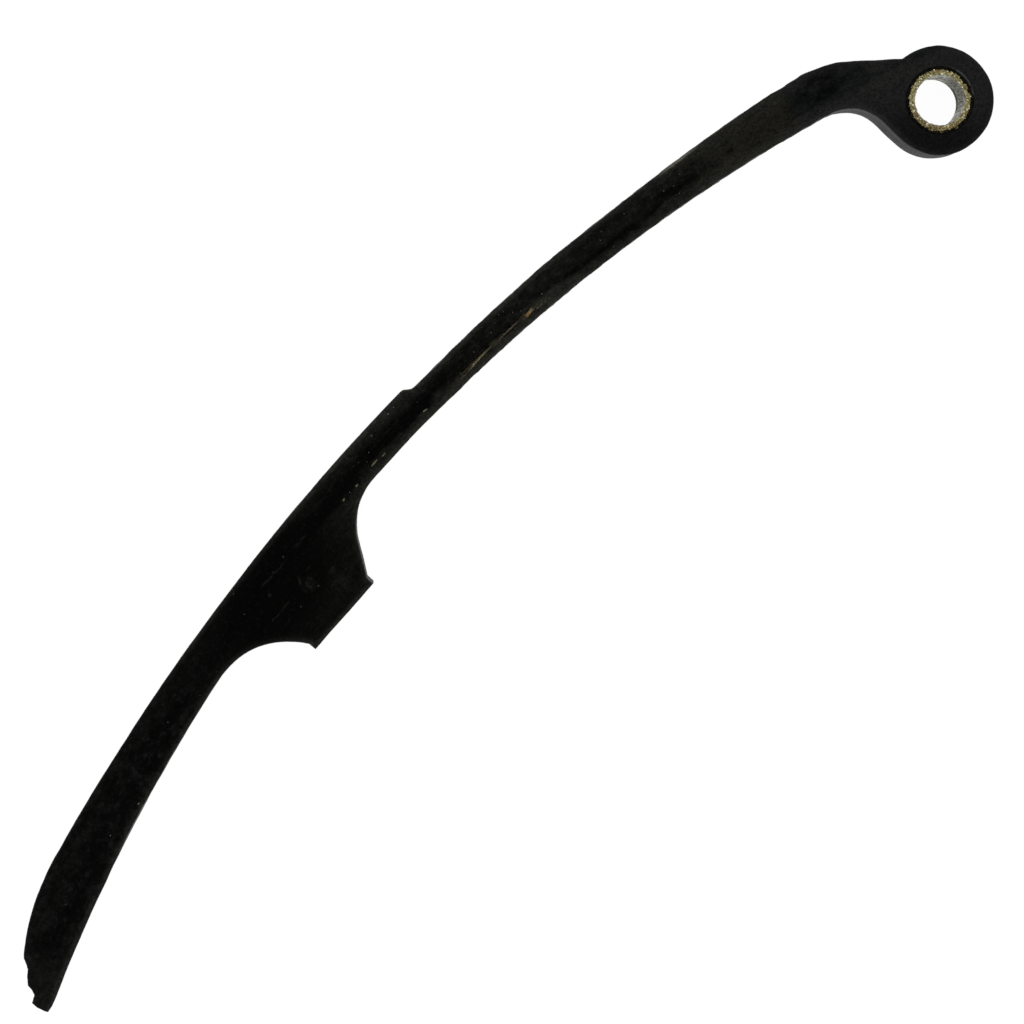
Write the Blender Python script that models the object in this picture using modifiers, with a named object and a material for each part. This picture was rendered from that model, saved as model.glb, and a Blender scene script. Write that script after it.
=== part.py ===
"""Timing chain guide of the pivoting kind, used and with its lower end torn off.

A curved arm of black rubber is moulded round a spring steel leaf. A steel bush
sits in the eye at its upper end, the chain runs along its outer edge, and the
tensioner pushes on a flat pad on its hollow side.

The arm lies flat on its side. X runs from the torn end to the pivot, Y from the
pad to the chain face and Z across the width. All shapes are drawn about the axis
of the pivot. An empty then shifts the whole guide, so that the middle of its box
stands on the origin.
"""
import math

import bmesh
import bpy
from mathutils import Vector

MM = 0.001
DEG = math.radians(1.0)
PIVOT = Vector((0.0, 0.0))
CROWN = 90.0 * DEG

# Pivot bush, a piece of plain steel tube
BUSH_BORE = 8.0 * MM
BUSH_WALL = 1.0 * MM
BUSH_RECESS = 0.4 * MM
BUSH_CHAMFER = 0.2 * MM

# Clearances between the pieces
BUSH_GAP = 0.35 * MM
LEAF_GAP = 0.3 * MM

# Width of the arm, its rounded edges and the rubber round the bush
WIDTH = 12.0 * MM
EDGE_ROUND = 1.0 * MM
EYE_WALL = 3.2 * MM
EYE_RIM_FLARE = 0.15 * MM

# Back edge: one arc, whose crown lies this far from the pivot along X and Y
BACK_RADIUS = 274.2 * MM
BACK_CROWN_RUN = 89.8 * MM
BACK_CROWN_RISE = 21.5 * MM
END_FROM_CROWN = 114.0 * MM

# Chain face: an arc as moulded towards the torn end, then one that the chain wore
CHAIN_RADIUS = 363.8 * MM
CHAIN_CROWN_RUN = 85.1 * MM
CROWN_THICKNESS = 6.35 * MM
WORN_RADIUS = 344.1 * MM
WORN_CROWN_RUN = 89.0 * MM
WEAR_DEPTH = 1.12 * MM
WEAR_STEP_RUN = 90.7 * MM
WEAR_STEP_LENGTH = 1.1 * MM
WEAR_WAVE_HEIGHT = 0.1 * MM
WEAR_WAVE_LENGTH = 41.0 * MM
WEAR_WAVE_CREST = 23.0 * MM
NOSE_FROM_CROWN = 99.1 * MM
NOSE_RADIUS = 38.0 * MM
NOSE_LENGTH = 16.0 * MM

# Neck between the arm and the eye
NECK_FLAT_SLOPE = 43.0 * DEG
NECK_FLAT_STEP = 1.9 * MM
SHOULDER_RADIUS = 18.5 * MM
NECK_FILLET = 7.4 * MM

# Pad for the tensioner
PAD_FROM_CROWN = 35.1 * MM
PAD_REACH = 10.3 * MM
PAD_LENGTH = 13.75 * MM
PAD_TURN = 3.6 * DEG
PAD_LIP = 1.3 * MM
PIVOT_FLANK_LEAN = 35.0 * DEG
PIVOT_FLANK_FILLET = 11.0 * MM
END_FLANK_LEAN = 27.0 * DEG
END_FLANK_FILLET = 13.0 * MM

# Torn end: distance from the end along the back edge, and height above that edge
TORN_EDGE = (
    (5.9 * MM, 6.1 * MM),
    (5.2 * MM, 5.5 * MM),
    (4.0 * MM, 5.1 * MM),
    (2.8 * MM, 4.5 * MM),
    (2.4 * MM, 3.7 * MM),
    (1.8 * MM, 3.0 * MM),
    (0.5 * MM, 2.9 * MM),
    (0.1 * MM, 1.9 * MM),
    (0.0 * MM, 0.6 * MM),
)

# Spring leaf, with a rolled end that holds the bush
LEAF_THICKNESS = 0.8 * MM
BACK_SKIN = 0.7 * MM
SIDE_SKIN = 0.5 * MM
LEAF_BEND = 90.0 * MM
ROLL_WRAP = 240.0 * DEG
LEAF_END_RECESS = 0.2 * MM

# Slits worn through the skin over the leaf: middle, from the crown to the pivot, and length
WORN_SLITS = (
    (9.5 * MM, 6.0 * MM),
    (16.8 * MM, 3.4 * MM),
    (20.7 * MM, 1.2 * MM),
)
SLIT_WIDTH = 0.6 * MM

# Facets: how far a chord may lie inside its arc, and the sides of a turned piece
CHORD_ERROR = 0.008 * MM
TURNED_SIDES = 64
ROUND_SEGMENTS = 3
SHARP_FROM = 35.0 * DEG
CUT_OVERRUN = 1.0 * MM
WELD = 0.001 * MM

# Colour, roughness and metallic value of each material
RUBBER_FINISH = ((0.012, 0.012, 0.011), 0.55, 0.0)
LEAF_FINISH = ((0.45, 0.38, 0.22), 0.35, 1.0)
BUSH_FINISH = ((0.42, 0.40, 0.32), 0.4, 1.0)

# Sizes that follow from those above
BUSH_RADIUS = BUSH_BORE / 2 + BUSH_WALL
EYE_HOLE_RADIUS = BUSH_RADIUS + BUSH_GAP
EYE_RADIUS = EYE_HOLE_RADIUS + EYE_WALL
BACK_CENTRE = Vector((-BACK_CROWN_RUN, BACK_CROWN_RISE - BACK_RADIUS))
CHAIN_CROWN_RISE = BACK_CROWN_RISE + CROWN_THICKNESS
CHAIN_CENTRE = Vector((-CHAIN_CROWN_RUN, CHAIN_CROWN_RISE - CHAIN_RADIUS))
WORN_CENTRE = Vector((-WORN_CROWN_RUN, CHAIN_CROWN_RISE - WEAR_DEPTH - WORN_RADIUS))
SLOT_HALF = LEAF_THICKNESS / 2 + LEAF_GAP
LEAF_RADIUS = BACK_RADIUS + BACK_SKIN + SLOT_HALF
ROLL_RADIUS = BUSH_RADIUS + LEAF_GAP + LEAF_THICKNESS / 2


def polar(centre, radius, angle):
    """Point on a circle."""
    return centre + radius * Vector((math.cos(angle), math.sin(angle)))


def bearing(centre, point):
    """Angle from X at which a point lies from a centre, from 0 to a full turn."""
    offset = point - centre
    return math.atan2(offset.y, offset.x) % math.tau


def arc(centre, radius, start, end):
    """Points along an arc, both ends included."""
    turn = 2 * math.acos(1 - CHORD_ERROR / radius)
    count = max(2, math.ceil(abs(end - start) / turn))
    return [polar(centre, radius, start + (end - start) * i / count) for i in range(count + 1)]


def circles_meet(centre_a, radius_a, centre_b, radius_b):
    """Where two circles cross, on the left of the line from the first to the second."""
    across = centre_b - centre_a
    distance = across.length
    along = (radius_a**2 - radius_b**2 + distance**2) / (2 * distance)
    aside = math.sqrt(radius_a**2 - along**2)
    ahead = across.normalized()
    return centre_a + along * ahead + aside * Vector((-ahead.y, ahead.x))


def line_meets_circle(point, direction, centre, radius):
    """Where a line leaves a circle."""
    offset = point - centre
    towards = offset.dot(direction)
    return point + direction * (math.sqrt(towards**2 - offset.length_squared + radius**2) - towards)


def neck_top():
    """From the crease at the eye, up the neck's flat and round the shoulder."""
    outward = polar(PIVOT, 1.0, CROWN - NECK_FLAT_SLOPE)
    uphill = Vector((-outward.y, outward.x))
    foot = (EYE_RADIUS - NECK_FLAT_STEP) * outward
    crease = line_meets_circle(foot, uphill, PIVOT, EYE_RADIUS)
    centre = line_meets_circle(
        foot - SHOULDER_RADIUS * outward, uphill, WORN_CENTRE, WORN_RADIUS - SHOULDER_RADIUS
    )
    end = bearing(WORN_CENTRE, centre)
    return [crease] + arc(centre, SHOULDER_RADIUS, CROWN - NECK_FLAT_SLOPE, end), crease


def waved(point):
    """Move a point of the worn arc up or down on the shallow wave that the chain left."""
    angle = bearing(WORN_CENTRE, point)
    along = (CROWN - angle) * WORN_RADIUS
    phase = math.tau * (along - WEAR_WAVE_CREST) / WEAR_WAVE_LENGTH
    return polar(WORN_CENTRE, WORN_RADIUS + WEAR_WAVE_HEIGHT * math.cos(phase), angle)


def chain_face(start):
    """From the shoulder along the worn arc, up the step, along the moulded arc and down the nose."""
    step_foot = CROWN + math.asin((WEAR_STEP_RUN - WORN_CROWN_RUN) / WORN_RADIUS)
    step_top = CROWN + math.asin((WEAR_STEP_RUN + WEAR_STEP_LENGTH - CHAIN_CROWN_RUN) / CHAIN_RADIUS)
    nose = CROWN + NOSE_FROM_CROWN / CHAIN_RADIUS
    nose_centre = polar(CHAIN_CENTRE, CHAIN_RADIUS - NOSE_RADIUS, nose)
    worn = [waved(point) for point in arc(WORN_CENTRE, WORN_RADIUS, start, step_foot)]
    moulded = arc(CHAIN_CENTRE, CHAIN_RADIUS, step_top, nose)
    return worn + moulded + arc(nose_centre, NOSE_RADIUS, nose, nose + NOSE_LENGTH / NOSE_RADIUS)


def above_back(from_end, height):
    """Point given by its distance from the torn end and its height above the back edge."""
    angle = CROWN + (END_FROM_CROWN - from_end) / BACK_RADIUS
    return polar(BACK_CENTRE, BACK_RADIUS + height, angle)


def pad_flank(corner, direction, void, fillet):
    """Centre and radius of the fillet from one side of the pad into the back edge."""
    offset = corner - BACK_CENTRE
    room = (BACK_RADIUS**2 - offset.length_squared) / (2 * (BACK_RADIUS + void.dot(offset)))
    radius = min(fillet, room)
    start = corner + radius * void
    return line_meets_circle(start, direction, BACK_CENTRE, BACK_RADIUS - radius), radius


def pad():
    """From the back edge round one fillet, across the pad's face and round the other."""
    place = CROWN + PAD_FROM_CROWN / BACK_RADIUS
    middle = polar(BACK_CENTRE, BACK_RADIUS - PAD_REACH, place)
    inward = place - PAD_TURN
    up = polar(PIVOT, 1.0, inward)
    along = Vector((up.y, -up.x))
    end_corner = middle - PAD_LENGTH / 2 * along
    pivot_corner = middle + PAD_LENGTH / 2 * along

    end_lean = inward + END_FLANK_LEAN
    end_rise = polar(PIVOT, 1.0, end_lean)
    end_void = Vector((-end_rise.y, end_rise.x))
    end_centre, end_radius = pad_flank(
        end_corner + PAD_LIP * up, end_rise, end_void, END_FLANK_FILLET
    )
    pivot_lean = inward - PIVOT_FLANK_LEAN
    pivot_rise = polar(PIVOT, 1.0, pivot_lean)
    pivot_void = Vector((pivot_rise.y, -pivot_rise.x))
    pivot_centre, pivot_radius = pad_flank(
        pivot_corner + PAD_LIP * up, pivot_rise, pivot_void, PIVOT_FLANK_FILLET
    )

    end_tangent = bearing(BACK_CENTRE, end_centre)
    pivot_tangent = bearing(BACK_CENTRE, pivot_centre)
    points = arc(end_centre, end_radius, end_tangent, end_lean - CROWN)
    points += [end_corner + PAD_LIP * up, end_corner, pivot_corner, pivot_corner + PAD_LIP * up]
    points += arc(pivot_centre, pivot_radius, pivot_lean + CROWN, pivot_tangent)
    return points, end_tangent, pivot_tangent


def neck_underside():
    """From the back edge round the fillet under the neck, down to the side of the eye."""
    reach = BACK_RADIUS - NECK_FILLET
    run = BACK_CROWN_RUN - EYE_RADIUS - NECK_FILLET
    centre = BACK_CENTRE + Vector((run, math.sqrt(reach**2 - run**2)))
    tangent = bearing(BACK_CENTRE, centre)
    return arc(centre, NECK_FILLET, tangent, 0.0), tangent


def arm_outline():
    """The whole outline of the rubber, anticlockwise from the crease, and its torn points."""
    neck, crease = neck_top()
    chain = chain_face(bearing(WORN_CENTRE, neck[-1]))
    torn = [above_back(*place) for place in TORN_EDGE]
    pad_points, end_tangent, pivot_tangent = pad()
    neck_under, neck_tangent = neck_underside()
    end = CROWN + END_FROM_CROWN / BACK_RADIUS
    lower_back = arc(BACK_CENTRE, BACK_RADIUS, end, end_tangent)
    upper_back = arc(BACK_CENTRE, BACK_RADIUS, pivot_tangent, neck_tangent)
    eye = arc(PIVOT, EYE_RADIUS, math.pi, math.tau + bearing(PIVOT, crease))
    stretches = (neck, chain, torn, lower_back, pad_points, upper_back, neck_under, eye)
    outline = []
    for point in (p for stretch in stretches for p in stretch):
        if not outline or (point - outline[-1]).length > WELD:
            outline.append(point)
    if (outline[-1] - outline[0]).length < WELD:
        outline.pop()
    return outline, [chain[-1]] + torn + [lower_back[0]]


def leaf_arcs(end_gap, wrap):
    """Centre, radius, start and end of each arc of the leaf's middle line, from end to roll."""
    bend_centre = circles_meet(
        BACK_CENTRE, LEAF_RADIUS - LEAF_BEND, PIVOT, LEAF_BEND - ROLL_RADIUS
    )
    start = CROWN + (END_FROM_CROWN - end_gap) / BACK_RADIUS
    leaves_arm = bearing(BACK_CENTRE, bend_centre)
    meets_roll = bearing(bend_centre, PIVOT)
    return (
        (BACK_CENTRE, LEAF_RADIUS, start, leaves_arm),
        (bend_centre, LEAF_BEND, leaves_arm, meets_roll),
        (PIVOT, ROLL_RADIUS, meets_roll, meets_roll - wrap),
    )


def band(arcs, half):
    """Closed outline of a strip that follows arcs at half its thickness either side."""
    outer = []
    inner = []
    for centre, radius, start, end in arcs:
        outer += arc(centre, radius + half, start, end)
        inner += arc(centre, radius - half, start, end)
    outline = []
    for point in outer + inner[::-1]:
        if not outline or (point - outline[-1]).length > WELD:
            outline.append(point)
    return outline


def clear_scene():
    for item in list(bpy.data.objects):
        bpy.data.objects.remove(item, do_unlink=True)


def new_collection(name):
    collection = bpy.data.collections.new(name)
    bpy.context.scene.collection.children.link(collection)
    return collection


def make_material(name, colour, roughness, metallic):
    material = bpy.data.materials.new(name)
    material.use_nodes = True
    shader = material.node_tree.nodes["Principled BSDF"]
    shader.inputs["Base Color"].default_value = (*colour, 1.0)
    shader.inputs["Roughness"].default_value = roughness
    shader.inputs["Metallic"].default_value = metallic
    return material


def place(mesh, name, collection, parent):
    item = bpy.data.objects.new(name, mesh)
    collection.objects.link(item)
    item.parent = parent
    return item


def is_end_face(face):
    return abs(face.normal.z) > face.normal.xy.length


def flat_solid(name, outline, bottom, top, collection, parent):
    """Extrude a flat outline between two heights, with one face for each end."""
    curve = bpy.data.curves.new(name + "_outline", "CURVE")
    curve.dimensions = "2D"
    curve.fill_mode = "BOTH"
    curve.extrude = (top - bottom) / 2
    spline = curve.splines.new("POLY")
    spline.points.add(len(outline) - 1)
    for spline_point, point in zip(spline.points, outline):
        spline_point.co = (point.x, point.y, 0.0, 1.0)
    spline.use_cyclic_u = True
    drawn = bpy.data.objects.new(name + "_outline", curve)
    bpy.context.scene.collection.objects.link(drawn)
    graph = bpy.context.evaluated_depsgraph_get()
    mesh = bpy.data.meshes.new_from_object(drawn.evaluated_get(graph))
    bpy.data.objects.remove(drawn, do_unlink=True)

    shape = bmesh.new()
    shape.from_mesh(mesh)
    bmesh.ops.remove_doubles(shape, verts=shape.verts, dist=WELD)
    bmesh.ops.translate(shape, verts=shape.verts, vec=(0.0, 0.0, (top + bottom) / 2))
    inside_ends = [edge for edge in shape.edges if all(map(is_end_face, edge.link_faces))]
    bmesh.ops.dissolve_edges(shape, edges=inside_ends, use_verts=False)
    bmesh.ops.recalc_face_normals(shape, faces=shape.faces)
    shape.to_mesh(mesh)
    shape.free()
    return place(mesh, name, collection, parent)


def turned_solid(name, profile, collection, parent):
    """Turn a closed profile, given as radius and height, about the pivot's axis."""
    mesh = bpy.data.meshes.new(name)
    corners = [(radius, 0.0, height) for radius, height in profile]
    count = len(corners)
    mesh.from_pydata(corners, [(i, (i + 1) % count) for i in range(count)], [])
    item = place(mesh, name, collection, parent)
    screw = item.modifiers.new("Turn", "SCREW")
    screw.axis = "Z"
    screw.steps = TURNED_SIDES
    screw.render_steps = TURNED_SIDES
    screw.use_merge_vertices = True
    screw.merge_threshold = WELD
    return item


def hide_cutter(item):
    item.hide_render = True
    item.display_type = "WIRE"
    return item


def cut(item, cutter):
    boolean = item.modifiers.new("Cut " + cutter.name, "BOOLEAN")
    boolean.operation = "DIFFERENCE"
    boolean.solver = "EXACT"
    boolean.object = cutter


def round_rims(item, torn):
    """Round the rims of both flat sides, except where the rubber is torn."""
    mesh = item.data
    weights = mesh.attributes.new("bevel_weight_edge", "FLOAT", "EDGE")
    for edge in mesh.edges:
        ends = [mesh.vertices[i].co for i in edge.vertices]
        level = abs(ends[0].z - ends[1].z) < WELD
        in_tear = all(any((end.xy - point).length < WELD for point in torn) for end in ends)
        weights.data[edge.index].value = 1.0 if level and not in_tear else 0.0
    bevel = item.modifiers.new("Rounded rims", "BEVEL")
    bevel.limit_method = "WEIGHT"
    bevel.width = EDGE_ROUND
    bevel.segments = ROUND_SEGMENTS
    bevel.use_clamp_overlap = False


def eye_hole_cutter(collection, parent):
    flared = EYE_HOLE_RADIUS + EYE_RIM_FLARE
    profile = (
        (0.0, WIDTH + CUT_OVERRUN),
        (flared, WIDTH + CUT_OVERRUN),
        (flared, WIDTH),
        (EYE_HOLE_RADIUS, WIDTH - EYE_RIM_FLARE),
        (EYE_HOLE_RADIUS, EYE_RIM_FLARE),
        (flared, 0.0),
        (flared, -CUT_OVERRUN),
        (0.0, -CUT_OVERRUN),
    )
    return hide_cutter(turned_solid("eye_hole", profile, collection, parent))


def leaf_slot_cutter(collection, parent):
    wrap = ROLL_WRAP + LEAF_GAP / ROLL_RADIUS
    outline = band(leaf_arcs(-CUT_OVERRUN, wrap), SLOT_HALF)
    slot = flat_solid("leaf_slot", outline, SIDE_SKIN, WIDTH - SIDE_SKIN, collection, parent)
    return hide_cutter(slot)


def slit_cutter(number, middle, length, collection, parent):
    """A block over the leaf that opens the skin of the upper side."""
    bearing_angle = CROWN - middle / BACK_RADIUS
    spot = polar(BACK_CENTRE, LEAF_RADIUS, bearing_angle)
    mesh = bpy.data.meshes.new(f"worn_slit_{number}")
    shape = bmesh.new()
    bmesh.ops.create_cube(shape, size=1.0)
    depth = SIDE_SKIN + LEAF_GAP / 2
    bmesh.ops.scale(shape, verts=shape.verts, vec=(length, SLIT_WIDTH, depth + CUT_OVERRUN))
    shape.to_mesh(mesh)
    shape.free()
    slit = place(mesh, f"worn_slit_{number}", collection, parent)
    slit.location = (spot.x, spot.y, WIDTH + (CUT_OVERRUN - depth) / 2)
    slit.rotation_euler.z = bearing_angle - CROWN
    return hide_cutter(slit)


def make_body(parts, cutters, parent):
    outline, torn = arm_outline()
    body = flat_solid("guide_body", outline, 0.0, WIDTH, parts, parent)
    round_rims(body, torn)
    cut(body, eye_hole_cutter(cutters, parent))
    cut(body, leaf_slot_cutter(cutters, parent))
    for number, (middle, length) in enumerate(WORN_SLITS, 1):
        cut(body, slit_cutter(number, middle, length, cutters, parent))
    body.data.shade_smooth()
    body.data.set_sharp_from_angle(angle=SHARP_FROM)
    return body, outline


def make_leaf(parts, parent):
    outline = band(leaf_arcs(LEAF_END_RECESS, ROLL_WRAP), LEAF_THICKNESS / 2)
    edge = SIDE_SKIN + LEAF_GAP
    return flat_solid("spring_leaf", outline, edge, WIDTH - edge, parts, parent)


def make_bush(parts, parent):
    inner = BUSH_BORE / 2
    bottom = BUSH_RECESS
    top = WIDTH - BUSH_RECESS
    profile = (
        (inner + BUSH_CHAMFER, top),
        (BUSH_RADIUS - BUSH_CHAMFER, top),
        (BUSH_RADIUS, top - BUSH_CHAMFER),
        (BUSH_RADIUS, bottom + BUSH_CHAMFER),
        (BUSH_RADIUS - BUSH_CHAMFER, bottom),
        (inner + BUSH_CHAMFER, bottom),
        (inner, bottom + BUSH_CHAMFER),
        (inner, top - BUSH_CHAMFER),
    )
    bush = turned_solid("pivot_bush", profile, parts, parent)
    bush.data.shade_smooth()
    bush.data.set_sharp_from_angle(angle=SHARP_FROM)
    return bush


def build():
    clear_scene()
    parts = new_collection("timing_chain_guide")
    cutters = new_collection("cutters")
    frame = bpy.data.objects.new("guide_frame", None)
    parts.objects.link(frame)

    body, outline = make_body(parts, cutters, frame)
    leaf = make_leaf(parts, frame)
    bush = make_bush(parts, frame)
    xs = [point.x for point in outline]
    ys = [point.y for point in outline]
    frame.location = (-(min(xs) + max(xs)) / 2, -(min(ys) + max(ys)) / 2, 0.0)

    body.data.materials.append(make_material("black_rubber", *RUBBER_FINISH))
    leaf.data.materials.append(make_material("spring_steel", *LEAF_FINISH))
    bush.data.materials.append(make_material("bush_steel", *BUSH_FINISH))


build()
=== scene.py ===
# %% [markdown]
# A timing chain guide keeps the slack side of an engine's chain in its track. This one
# is a curved arm of black rubber moulded round a spring steel leaf. It turns on a steel
# bush at one end, a tensioner pushes on the pad in its hollow side, and its lower end
# has torn off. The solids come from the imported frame, at their real size. This script
# gives them their worn surfaces. We first load the frame and note its box.

# %% Load the frame
import math
import random

import bpy
import numpy as np
from mathutils import Matrix, Vector, kdtree


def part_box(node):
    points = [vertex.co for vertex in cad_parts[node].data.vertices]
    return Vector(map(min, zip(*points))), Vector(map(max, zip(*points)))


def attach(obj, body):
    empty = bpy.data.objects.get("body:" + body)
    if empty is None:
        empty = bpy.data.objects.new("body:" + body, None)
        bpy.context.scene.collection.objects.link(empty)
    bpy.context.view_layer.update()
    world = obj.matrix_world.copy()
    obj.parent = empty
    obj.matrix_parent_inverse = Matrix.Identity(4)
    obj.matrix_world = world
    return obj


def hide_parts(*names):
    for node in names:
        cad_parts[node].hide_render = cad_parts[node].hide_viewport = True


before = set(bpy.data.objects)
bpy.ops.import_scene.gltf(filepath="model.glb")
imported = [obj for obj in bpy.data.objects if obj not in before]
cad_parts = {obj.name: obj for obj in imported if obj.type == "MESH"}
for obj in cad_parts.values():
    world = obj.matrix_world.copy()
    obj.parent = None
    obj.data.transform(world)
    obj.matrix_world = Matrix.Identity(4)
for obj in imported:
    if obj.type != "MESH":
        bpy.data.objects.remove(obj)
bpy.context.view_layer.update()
print("pieces in the frame:", sorted(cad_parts))

# %% [markdown]
# Everything worn follows the arm, so places are easiest to give along it: the distance
# from the crown of the back edge towards the pivot, and the height above that edge. The
# pivot is read from the frame, and the back edge is one arc about a centre far below.

# %% Sizes and places that the finishes share
MM = 0.001
bush_low, bush_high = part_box("pivot_bush")
body_low, body_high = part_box("guide_body")
PIVOT = Vector(((bush_low.x + bush_high.x) / 2, (bush_low.y + bush_high.y) / 2, 0.0))
TOP = body_high.z
BACK_RADIUS = 274.2 * MM
BACK_CENTRE = PIVOT + Vector((-89.8 * MM, 21.5 * MM - BACK_RADIUS, 0.0))
BUSH_RADIUS = (bush_high.x - bush_low.x) / 2
BORE_RADIUS = BUSH_RADIUS - 1.0 * MM
HOLE_RADIUS = BUSH_RADIUS + 0.35 * MM


def along_arm(run, rise, height=TOP):
    """Point at a distance along the back edge from its crown, and above it, in mm."""
    angle = run * MM / BACK_RADIUS
    radius = BACK_RADIUS + rise * MM
    return BACK_CENTRE + Vector((radius * math.sin(angle), radius * math.cos(angle), height))


print("pivot, mm:", [round(v * 1000, 2) for v in PIVOT])
print("crown of the back edge, mm:", [round(v * 1000, 2) for v in along_arm(0.0, 0.0)])

# %% [markdown]
# The photograph looks straight down from about two thirds of a metre, through a long
# lens, with the arm across the picture's diagonal. The camera stands over one spot and
# looks at another, and the picture's upright is turned to match. A camera is built from
# three directions at right angles, so that no roll has to be guessed.

# %% Camera
STAND = Vector((7.80, 18.04, 656.0)) * MM
LOOK_AT = Vector((3.139, -7.629, 12.0)) * MM
PICTURE_UP = Vector((0.70835, 0.70587, 0.0))
LENS = 144.26
SENSOR = 36.0

ahead = (LOOK_AT - STAND).normalized()
right = ahead.cross(PICTURE_UP).normalized()
upward = right.cross(ahead)
bpy.ops.object.camera_add(location=STAND)
camera = bpy.context.object
camera.rotation_euler = Matrix((right, upward, -ahead)).transposed().to_euler()
camera.data.lens = LENS
camera.data.sensor_width = SENSOR
camera.data.clip_start = 0.05
camera.data.clip_end = 20.0
bpy.context.scene.camera = camera
bpy.context.scene.view_settings.view_transform = "Standard"
print("camera height over the guide, mm:", round((STAND.z - TOP) * 1000))

# %% [markdown]
# Black rubber shows only what it reflects. Straight above it there is just the dark
# camera, so the flat side stays black, while the low softboxes round it catch the rims
# and walls. The stage is plain and pale: the floor looks nearly white to the camera and
# to reflections, and keeps a part of its own shading so that a soft shadow stays.

# %% Node helpers
def put(tree, kind, inputs=None, **settings):
    """Add a node, set its options, and link or set its inputs."""
    made = tree.nodes.new("ShaderNode" + kind)
    for name, value in settings.items():
        setattr(made, name, value)
    for name, value in (inputs or {}).items():
        if isinstance(value, bpy.types.NodeSocket):
            tree.links.new(value, made.inputs[name])
        else:
            made.inputs[name].default_value = value
    return made


def maths(tree, operation, *values, clamp=False):
    """A Math node on numbers or sockets."""
    made = put(tree, "Math", operation=operation, use_clamp=clamp)
    for slot, value in zip(made.inputs, values):
        if isinstance(value, bpy.types.NodeSocket):
            tree.links.new(value, slot)
        else:
            slot.default_value = value
    return made.outputs[0]


def vector_maths(tree, operation, *values, output="Vector"):
    """A Vector Math node on vectors or sockets."""
    made = put(tree, "VectorMath", operation=operation)
    for slot, value in zip(made.inputs, values):
        if isinstance(value, bpy.types.NodeSocket):
            tree.links.new(value, slot)
        else:
            slot.default_value = value
    return made.outputs[output]


def new_material(name):
    material = bpy.data.materials.new(name)
    material.use_nodes = True
    return material, material.node_tree, material.node_tree.nodes["Principled BSDF"]


# %% Stage
FLOOR_GLOW = 0.93
WORLD_LIGHT = 0.10
SOFTBOXES = {
    "softbox_end": ((-620.0, -60.0, 330.0), 4.1),
    "softbox_hollow": ((-40.0, -620.0, 330.0), 2.2),
    "softbox_pivot": ((620.0, 60.0, 330.0), 1.9),
    "softbox_chain": ((40.0, 620.0, 330.0), 2.2),
}
SOFTBOX_SIZE = 0.45

bpy.ops.mesh.primitive_plane_add(size=6.0, location=(0.0, 0.0, -0.0001))
floor = bpy.context.object
floor.name = "floor"
material, tree, shader = new_material("pale_floor")
path = put(tree, "LightPath")
seen = maths(tree, "ADD", path.outputs["Is Camera Ray"], path.outputs["Is Glossy Ray"])
seen = maths(tree, "ADD", seen, path.outputs["Is Transmission Ray"], clamp=True)
glow = put(tree, "Emission", {"Color": (1.0, 1.0, 1.0, 1.0), "Strength": 1.05})
share = maths(tree, "MULTIPLY", seen, FLOOR_GLOW)
shader.inputs["Base Color"].default_value = (0.9, 0.9, 0.9, 1.0)
shader.inputs["Roughness"].default_value = 0.9
shader.inputs["Specular IOR Level"].default_value = 0.0
both = put(tree, "MixShader", {0: share, 1: shader.outputs[0], 2: glow.outputs[0]})
tree.links.new(both.outputs[0], tree.nodes["Material Output"].inputs["Surface"])
floor.data.materials.append(material)

world = bpy.data.worlds.new("studio")
bpy.context.scene.world = world
world.use_nodes = True
world.node_tree.nodes["Background"].inputs["Color"].default_value = (1.0, 1.0, 1.0, 1.0)
world.node_tree.nodes["Background"].inputs["Strength"].default_value = WORLD_LIGHT

for name, (place, power) in SOFTBOXES.items():
    bpy.ops.object.light_add(type="AREA", location=Vector(place) * MM)
    lamp = bpy.context.object
    lamp.name = name
    lamp.data.size = SOFTBOX_SIZE
    lamp.data.energy = power
    lamp.rotation_euler = (-Vector(place)).to_track_quat("-Z", "Y").to_euler()
print("softboxes:", len(SOFTBOXES))

# %% [markdown]
# The rubber is a copy of its solid, cut into small cells so that wear can be real
# relief. The copy is merged, its flat sides are cleared of needless lines, and planes a
# little apart then bisect it along each direction. That keeps the outline exactly as it
# was, which a voxel remesh would not.

# %% Cut the rubber into cells
CELL = 0.7 * MM


def only(piece):
    """Select one object alone and make it the active one."""
    if bpy.context.object and bpy.context.object.mode != "OBJECT":
        bpy.ops.object.mode_set(mode="OBJECT")
    bpy.ops.object.select_all(action="DESELECT")
    piece.select_set(True)
    bpy.context.view_layer.objects.active = piece


def merged_copy(node, name):
    """A copy of a CAD node under a new name, with its loose triangles joined."""
    piece = bpy.data.objects.new(name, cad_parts[node].data.copy())
    bpy.context.scene.collection.objects.link(piece)
    piece.data.materials.clear()
    only(piece)
    bpy.ops.object.mode_set(mode="EDIT")
    bpy.ops.mesh.select_all(action="SELECT")
    bpy.ops.mesh.remove_doubles(threshold=0.000001)
    bpy.ops.mesh.dissolve_limited(angle_limit=math.radians(0.2))
    bpy.ops.object.mode_set(mode="OBJECT")
    return piece


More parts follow.
